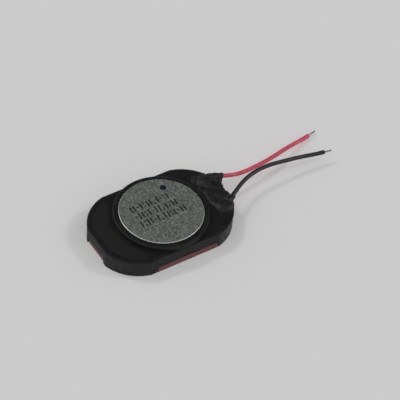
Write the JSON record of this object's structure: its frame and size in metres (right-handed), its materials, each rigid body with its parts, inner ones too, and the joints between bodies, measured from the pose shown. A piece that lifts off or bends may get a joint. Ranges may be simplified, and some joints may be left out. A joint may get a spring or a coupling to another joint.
{
  "type": "oval micro speaker with leads",
  "caption": "Oval dynamic micro speaker with a round magnet pot, moulded frame, front cover and short stripped leads.",
  "frame": {"origin": "on the plane of the front rim that the speaker rests on, under the middle of the body", "axes": "+X along the body towards the end with the leads, +Z out of the back of the magnet pot"},
  "size_m": [0.0352, 0.012, 0.0032],
  "materials": {
    "frame_plastic": "fine matte moulded, near black",
    "pot_nickel": "dull mottled nickel plate",
    "magnet_nickel": "bright nickel plate",
    "soft_iron": "zinc plated",
    "enamelled_copper": "enamelled copper wire",
    "clear_film": "thin amber polyester film",
    "ring_brass": "stamped brass",
    "cover_red": "red-brown moulded",
    "mesh_fabric": "fine woven black polyester",
    "board_laminate": "glass epoxy laminate",
    "pad_copper": "tinned copper foil",
    "solder": "reflowed solder",
    "sealant_black": "glossy lumpy sealing compound",
    "lead_red": "soft red insulation",
    "lead_black": "soft black insulation",
    "tinned_strands": "tinned twisted copper strands"
  },
  "bodies": {
    "root": {"frame": "frame_plastic", "yoke": "pot_nickel", "magnet": "magnet_nickel", "top_plate": "soft_iron", "surround": "clear_film", "clamp_ring": "ring_brass", "front_cover": "cover_red", "dust_mesh": "mesh_fabric", "vent_cloth": "mesh_fabric", "terminal_board": "board_laminate", "pad_positive": "pad_copper", "pad_negative": "pad_copper", "solder_positive": "solder", "solder_negative": "solder", "sealant": "sealant_black", "coil_wire_positive": "enamelled_copper", "coil_wire_negative": "enamelled_copper", "red_lead": "lead_red", "red_lead_strands": "tinned_strands", "black_lead": "lead_black", "black_lead_strands": "tinned_strands"},
    "moving_assembly": {"voice_coil": "enamelled_copper", "diaphragm": "clear_film"}
  },
  "joints": [
    {"name": "coil_travel", "type": "slide", "parent": "root", "child": "moving_assembly", "axis": [0, 0, 1], "range_m": [-0.00025, 0.00025], "stiffness_N_per_m": 1000, "deforming": ["surround", "coil_wire_positive", "coil_wire_negative"]}
  ]
}
